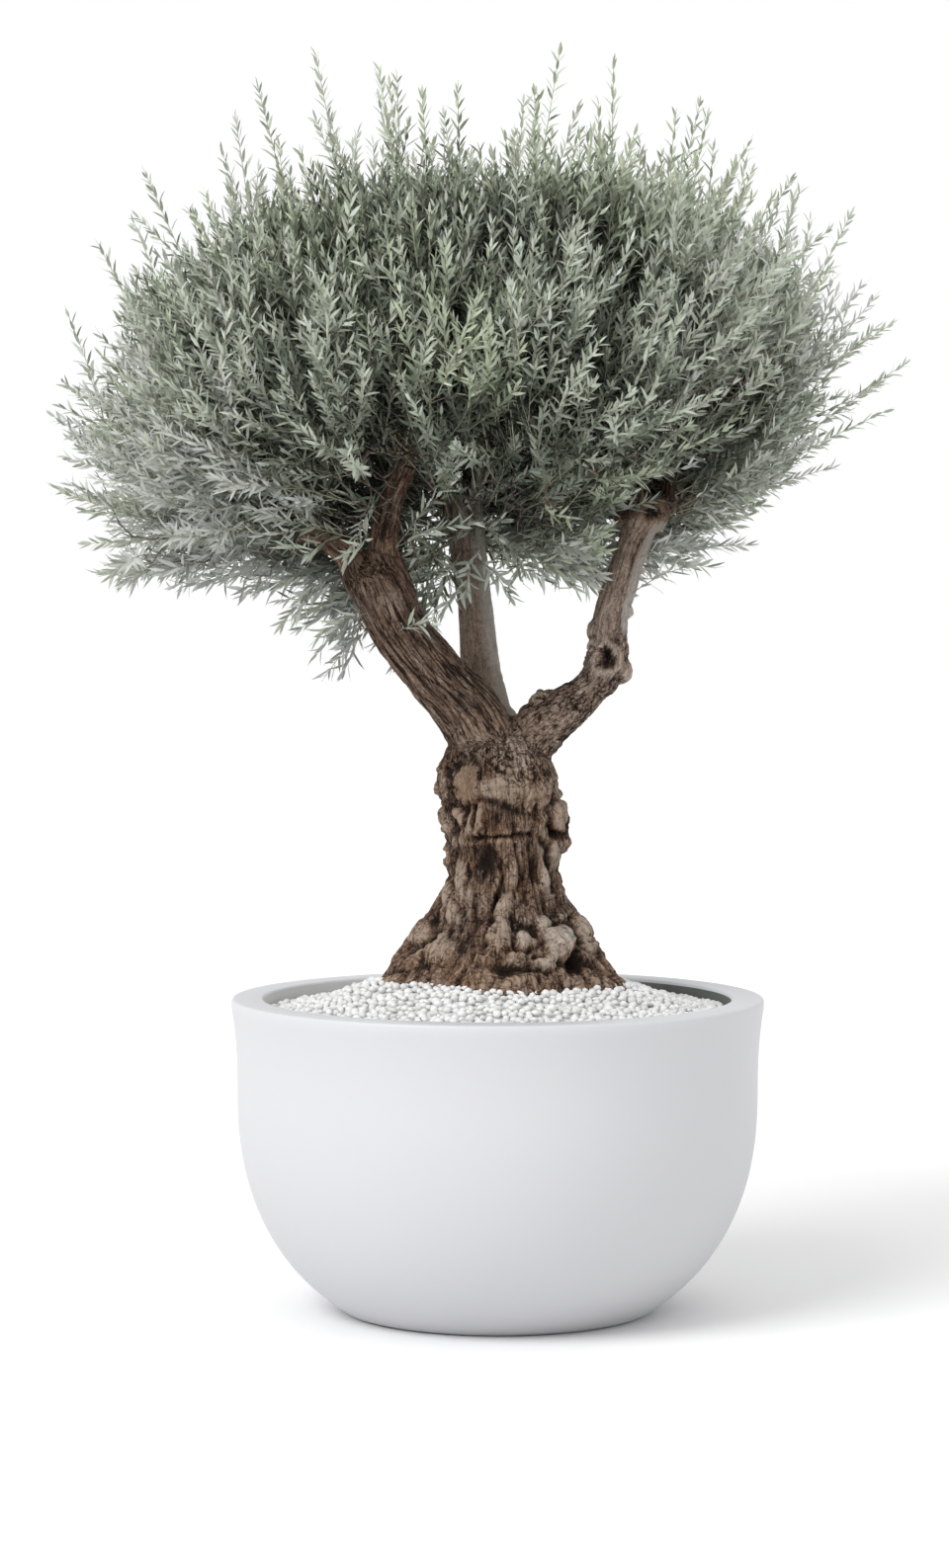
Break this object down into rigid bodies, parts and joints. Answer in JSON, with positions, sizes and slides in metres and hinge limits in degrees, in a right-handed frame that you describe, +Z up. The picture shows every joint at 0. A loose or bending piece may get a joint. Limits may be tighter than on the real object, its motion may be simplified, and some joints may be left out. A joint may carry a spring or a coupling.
{
  "type": "potted olive tree",
  "caption": "Old olive tree with a gnarled trunk, spreading boughs and a dense domed crown, growing in a wide round bowl planter topped with pebbles.",
  "frame": {"origin": "centre of the flat underside of the pot, on the ground", "axes": "+Z up through the trunk, -Y towards the front of the tree, where the two large side boughs spread to the left and right, +X to the right seen from the front"},
  "size_m": [1.8649, 1.7803, 2.8598],
  "materials": {
    "pot": "smooth matt white",
    "soil": "dark and crumbly",
    "pebbles": "rounded, dull",
    "old_bark": "rough, furrowed and knotted bark",
    "bough_bark": "rough furrowed bark",
    "branch_bark": "smooth young bark",
    "leaves": "grey-green leaves with a leathery dull face"
  },
  "bodies": {
    "root": {"bough_left": "bough_bark", "bough_rear": "bough_bark", "bough_right_lower": "bough_bark", "bough_right_upper": "bough_bark", "branch_low_1": "branch_bark", "branch_low_2": "branch_bark", "branch_low_3": "branch_bark", "branch_low_4": "branch_bark", "branch_low_5": "branch_bark", "branch_low_6": "branch_bark", "branch_low_7": "branch_bark", "branch_mid_1": "branch_bark", "branch_mid_2": "branch_bark", "branch_mid_3": "branch_bark", "branch_mid_4": "branch_bark", "branch_mid_5": "branch_bark", "branch_mid_6": "branch_bark", "branch_mid_7": "branch_bark", "branch_top_1": "branch_bark", "branch_top_2": "branch_bark", "branch_top_3": "branch_bark", "branch_top_4": "branch_bark", "foliage_low_1": "leaves", "foliage_low_2": "leaves", "foliage_low_3": "leaves", "foliage_low_4": "leaves", "foliage_low_5": "leaves", "foliage_low_6": "leaves", "foliage_low_7": "leaves", "foliage_mid_1": "leaves", "foliage_mid_2": "leaves", "foliage_mid_3": "leaves", "foliage_mid_4": "leaves", "foliage_mid_5": "leaves", "foliage_mid_6": "leaves", "foliage_mid_7": "leaves", "foliage_top_1": "leaves", "foliage_top_2": "leaves", "foliage_top_3": "leaves", "foliage_top_4": "leaves", "limb_left_inner": "bough_bark", "limb_left_outer": "bough_bark", "pebble_layer": "pebbles", "pot": "pot", "soil": "soil", "trunk": "old_bark"}
  },
  "joints": []
}
